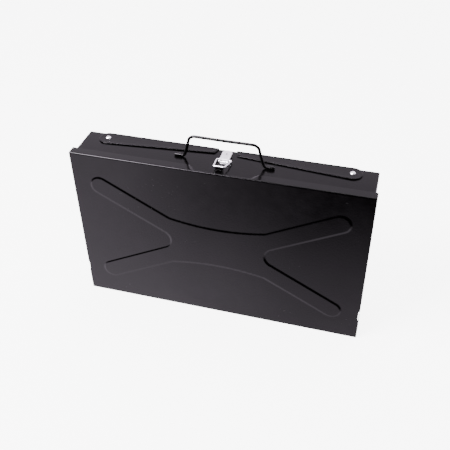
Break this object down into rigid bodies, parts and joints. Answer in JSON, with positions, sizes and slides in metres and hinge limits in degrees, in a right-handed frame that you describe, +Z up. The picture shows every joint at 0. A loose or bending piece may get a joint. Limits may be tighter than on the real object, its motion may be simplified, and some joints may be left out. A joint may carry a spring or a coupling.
{
  "type": "folding suitcase charcoal grill",
  "caption": "Closed folding suitcase charcoal grill in black painted sheet steel, standing on its hinge edge with wire handle, lever latch and folded channel legs.",
  "frame": {"origin": "middle of the case on the surface it stands on", "axes": "+X along the case, +Y from the lid to the back of the tray, +Z up to the handle"},
  "size_m": [0.45, 0.072, 0.3084],
  "materials": {
    "black_paint": "gloss",
    "zinc": "bright zinc plated",
    "bare_steel": "bare drawn wire",
    "chrome": "bright"
  },
  "bodies": {
    "tray": {"tray_shell": "black_paint", "grate_rail_top": "black_paint", "grate_rail_bottom": "black_paint", "charcoal_grate_frame": "bare_steel", "charcoal_grate_bars": "bare_steel", "cooking_grate_left_frame": "chrome", "cooking_grate_left_bars": "chrome", "cooking_grate_right_frame": "chrome", "cooking_grate_right_bars": "chrome", "leg_rivets": "zinc", "leg_spacers": "bare_steel", "handle_bracket_left": "black_paint", "handle_bracket_right": "black_paint", "latch_base": "zinc", "latch_base_rivets": "zinc", "latch_pin": "zinc", "hinge_left_tray_leaf": "black_paint", "hinge_right_tray_leaf": "black_paint", "hinge_left_pin": "bare_steel", "hinge_right_pin": "bare_steel"},
    "lid": {"lid_shell": "black_paint", "keeper": "black_paint", "hinge_left_lid_leaf": "black_paint", "hinge_right_lid_leaf": "black_paint"},
    "handle_body": {"handle": "black_paint"},
    "latch_lever_body": {"latch_lever": "zinc"},
    "latch_bail_body": {"latch_bail": "zinc"},
    "leg_top_left_body": {"leg_top_left": "black_paint"},
    "leg_top_right_body": {"leg_top_right": "black_paint"},
    "leg_bottom_left_body": {"leg_bottom_left": "black_paint"},
    "leg_bottom_right_body": {"leg_bottom_right": "black_paint"}
  },
  "joints": [
    {"name": "lid_open", "type": "hinge", "parent": "tray", "child": "lid", "pos_m": [0, -0.0175, 0.0024], "axis": [1, 0, 0], "range_deg": [0, 180]},
    {"name": "handle_swing", "type": "hinge", "parent": "tray", "child": "handle_body", "pos_m": [0, 0.003, 0.2718], "axis": [1, 0, 0], "range_deg": [-70, 70]},
    {"name": "latch_lift", "type": "hinge", "parent": "tray", "child": "latch_lever_body", "pos_m": [0, 0.0005, 0.2725], "axis": [1, 0, 0], "range_deg": [0, 120]},
    {"name": "bail_swing", "type": "hinge", "parent": "latch_lever_body", "child": "latch_bail_body", "pos_m": [0, 0.0055, 0.2724], "axis": [1, 0, 0], "range_deg": [-150, 0]},
    {"name": "leg_top_left_swing", "type": "hinge", "parent": "tray", "child": "leg_top_left_body", "pos_m": [-0.185, 0.0205, 0.2695], "axis": [0, 0, 1], "range_deg": [0, 100]},
    {"name": "leg_top_right_swing", "type": "hinge", "parent": "tray", "child": "leg_top_right_body", "pos_m": [0.185, 0.0205, 0.2695], "axis": [0, 0, -1], "range_deg": [0, 100]},
    {"name": "leg_bottom_left_swing", "type": "hinge", "parent": "tray", "child": "leg_bottom_left_body", "pos_m": [-0.185, 0.0205, 0.0058], "axis": [0, 0, 1], "range_deg": [0, 100]},
    {"name": "leg_bottom_right_swing", "type": "hinge", "parent": "tray", "child": "leg_bottom_right_body", "pos_m": [0.185, 0.0205, 0.0058], "axis": [0, 0, -1], "range_deg": [0, 100]}
  ],
  "couplings": [
    {"joint": "bail_swing", "follows": "latch_lift", "ratio": -1.25}
  ]
}
